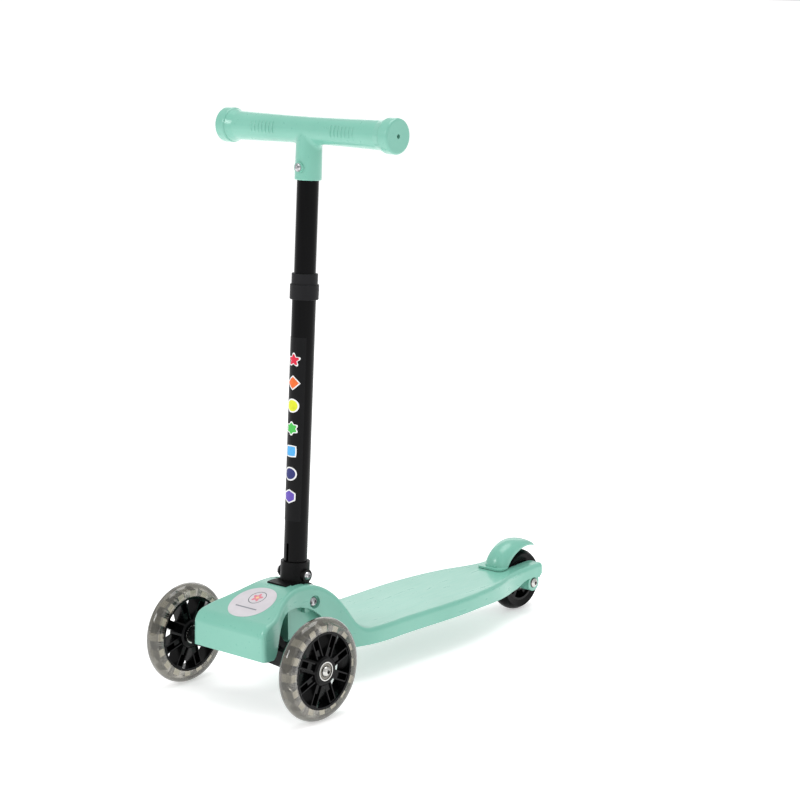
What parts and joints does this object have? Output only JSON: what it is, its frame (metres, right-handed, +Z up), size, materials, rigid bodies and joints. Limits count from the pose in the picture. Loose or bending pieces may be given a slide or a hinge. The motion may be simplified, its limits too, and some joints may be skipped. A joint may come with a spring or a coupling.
{
  "type": "kick scooter",
  "caption": "Child's folding kick scooter with lean-to-steer front wheels, a sliding T handlebar and a fender brake over the rear wheel.",
  "frame": {"origin": "On the ground, under the middle of the scooter's bounding box.", "axes": "+X is the direction of travel, +Y is the rider's left and +Z is up, along the leaning pole's height."},
  "size_m": [0.595, 0.2684, 0.673],
  "materials": {
    "deck_plastic": "mint green moulded plastic, satin",
    "trim_plastic": "black moulded plastic",
    "hub_plastic": "black glossy moulded hub",
    "collar_plastic": "black glossy plastic",
    "button_plastic": "black glossy push button",
    "handlebar_plastic": "mint green moulding, satin",
    "tube_metal": "black painted tube",
    "upper_tube_metal": "black gloss painted tube",
    "bolt_steel": "bright plated steel fasteners",
    "bearing_steel": "bearing races with dark shields",
    "front_tyre_clear": "clear cast polyurethane",
    "light_module": "white light module",
    "rear_tyre_rubber": "black cast polyurethane",
    "bush_rubber": "black steering bush",
    "badge_film": "pale printed badge",
    "label_film": "printed label with plain colour patches"
  },
  "bodies": {
    "deck": {"deck": "deck_plastic", "hood_badge": "badge_film", "fold_bolt": "bolt_steel", "fold_nut": "bolt_steel", "steering_bolt": "bolt_steel", "steering_washer": "bolt_steel", "steering_nut": "bolt_steel", "steering_bush": "bush_rubber", "rear_axle_bolt": "bolt_steel", "rear_axle_nut": "bolt_steel", "rear_axle_spacers": "bolt_steel", "fender_pin": "bolt_steel", "fender_springs": "bolt_steel"},
    "front_truck": {"truck": "trim_plastic", "front_axle_bolts": "bolt_steel", "front_axle_nuts": "bolt_steel", "front_axle_spacers": "bolt_steel"},
    "front_wheel_left": {"front_left_hub": "hub_plastic", "front_left_tyre": "front_tyre_clear", "front_left_light_modules": "light_module", "front_left_bearings": "bearing_steel"},
    "front_wheel_right": {"front_right_hub": "hub_plastic", "front_right_tyre": "front_tyre_clear", "front_right_light_modules": "light_module", "front_right_bearings": "bearing_steel"},
    "rear_wheel": {"rear_hub": "hub_plastic", "rear_tyre": "rear_tyre_rubber", "rear_bearings": "bearing_steel"},
    "brake_fender": {"brake_fender": "deck_plastic"},
    "stem": {"stem_base": "trim_plastic", "lower_tube": "tube_metal", "sleeve_bolt": "bolt_steel", "sleeve_nut": "bolt_steel", "pole_label": "label_film", "collar_clamp": "collar_plastic", "collar_bush": "collar_plastic", "height_button_spring": "bolt_steel", "fold_button_spring": "bolt_steel"},
    "fold_button": {"fold_button": "button_plastic"},
    "height_button": {"height_button": "button_plastic"},
    "handlebar": {"upper_tube": "upper_tube_metal", "handlebar": "handlebar_plastic", "neck_screw": "bolt_steel", "neck_washer": "bolt_steel", "grip_end_caps": "handlebar_plastic"}
  },
  "joints": [
    {"name": "lean_steering", "type": "hinge", "parent": "deck", "child": "front_truck", "pos_m": [0.2075, 0, 0.049], "axis": [0.4226, 0, 0.9063], "range_deg": [-15, 15], "stiffness_Nm_per_rad": 20},
    {"name": "front_left_spin", "type": "hinge", "parent": "front_truck", "child": "front_wheel_left", "pos_m": [0.2375, 0.1074, 0.06], "axis": [0, 1, 0], "continuous": true},
    {"name": "front_right_spin", "type": "hinge", "parent": "front_truck", "child": "front_wheel_right", "pos_m": [0.2375, -0.1074, 0.06], "axis": [0, 1, 0], "continuous": true},
    {"name": "rear_spin", "type": "hinge", "parent": "deck", "child": "rear_wheel", "pos_m": [-0.2575, 0, 0.04], "axis": [0, 1, 0], "continuous": true},
    {"name": "brake_press", "type": "hinge", "parent": "deck", "child": "brake_fender", "pos_m": [-0.2085, 0, 0.059], "axis": [0, -1, 0], "range_deg": [0, 3.5], "stiffness_Nm_per_rad": 1.2, "springref_deg": -3.44},
    {"name": "pole_fold", "type": "hinge", "parent": "deck", "child": "stem", "pos_m": [0.164, 0, 0.108], "axis": [0, -1, 0], "range_deg": [0, 84.5]},
    {"name": "fold_button_press", "type": "slide", "parent": "stem", "child": "fold_button", "axis": [1, 0, 0], "range_m": [0, 0.004], "stiffness_N_per_m": 800, "springref_m": -0.004},
    {"name": "height_button_press", "type": "slide", "parent": "stem", "child": "height_button", "axis": [0.9982, 0, 0.0607], "range_m": [0, 0.0015], "stiffness_N_per_m": 900, "springref_m": -0.003},
    {"name": "height_slide", "type": "slide", "parent": "stem", "child": "handlebar", "axis": [-0.0607, 0, 0.9982], "range_m": [-0.1, 0]}
  ]
}
